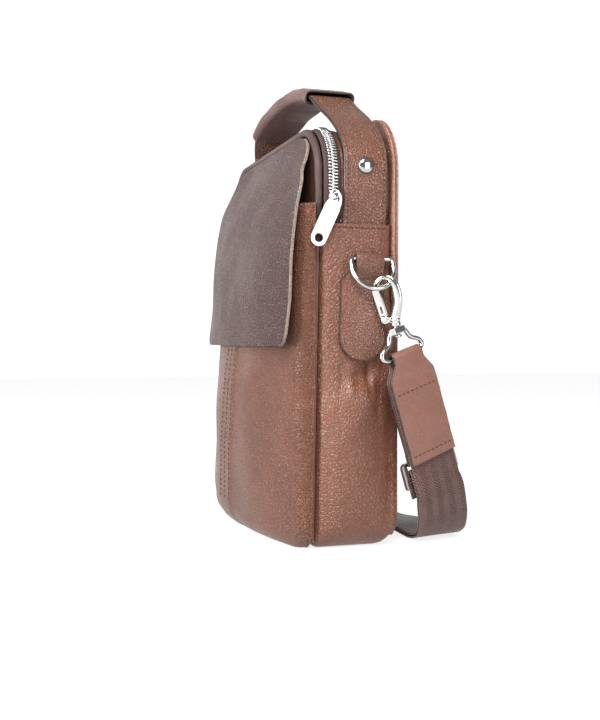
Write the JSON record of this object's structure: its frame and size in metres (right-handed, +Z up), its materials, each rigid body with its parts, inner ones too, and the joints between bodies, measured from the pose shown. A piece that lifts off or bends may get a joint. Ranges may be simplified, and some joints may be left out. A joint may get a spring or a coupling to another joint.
{
  "type": "shoulder bag",
  "caption": "Tall leather shoulder bag with a flap pocket in front, a zip over the top, a carrying handle and a webbing shoulder strap on swivel hooks.",
  "frame": {"origin": "middle of the base's flat underside, on the surface that the bag stands on", "axes": "+X to the side with the zip pull, -Y to the front with the flap, +Z up"},
  "size_m": [0.2675, 0.1449, 0.3161],
  "materials": {
    "leather": "pebbled brown leather, satin",
    "dark_leather": "fine dotted grain, taupe brown, satin",
    "strap_leather": "smooth fine grain, satin",
    "zip_tape": "dark herringbone tape",
    "webbing": "herringbone twill webbing",
    "nickel": "polished nickel plate"
  },
  "bodies": {
    "bag": {"gusset_strip": "leather", "side_base_panel": "leather", "back_panel": "leather", "front_wall": "leather", "handle_strap": "leather", "ring_tab_right": "leather", "ring_tab_left": "leather", "front_pouch": "dark_leather", "flap": "dark_leather", "grip_sleeve": "dark_leather", "strap_end_right": "strap_leather", "strap_end_left": "strap_leather", "zip_tape": "zip_tape", "webbing": "webbing", "zip_chain": "nickel", "zip_slider": "nickel", "zip_stop_right": "nickel", "zip_stop_left": "nickel", "strap_adjuster": "nickel", "strap_ring_left": "nickel", "rivet_right": "nickel", "rivet_left": "nickel", "d_ring_right": "nickel", "d_ring_left": "nickel", "hook_body_right": "nickel", "hook_body_left": "nickel", "hook_loop_right": "nickel", "hook_loop_left": "nickel"},
    "zip_pull": {"pull_tab": "nickel"},
    "gate_right": {"hook_gate_right": "nickel"},
    "gate_left": {"hook_gate_left": "nickel"}
  },
  "joints": [
    {"name": "zip_pull_lift", "type": "hinge", "parent": "bag", "child": "zip_pull", "pos_m": [0.1167, -0.01435, 0.22897], "axis": [0, -0.9063, 0.4226], "range_deg": [0, 78]},
    {"name": "gate_right_open", "type": "hinge", "parent": "bag", "child": "gate_right", "pos_m": [0.12301, 0.01607, 0.14894], "axis": [-0.7586, 0.6365, 0.1395], "range_deg": [0, 6.5], "stiffness_Nm_per_rad": 0.05},
    {"name": "gate_left_open", "type": "hinge", "parent": "bag", "child": "gate_left", "pos_m": [-0.12301, 0.01607, 0.14894], "axis": [-0.7586, -0.6365, -0.1395], "range_deg": [0, 6.5], "stiffness_Nm_per_rad": 0.05}
  ]
}
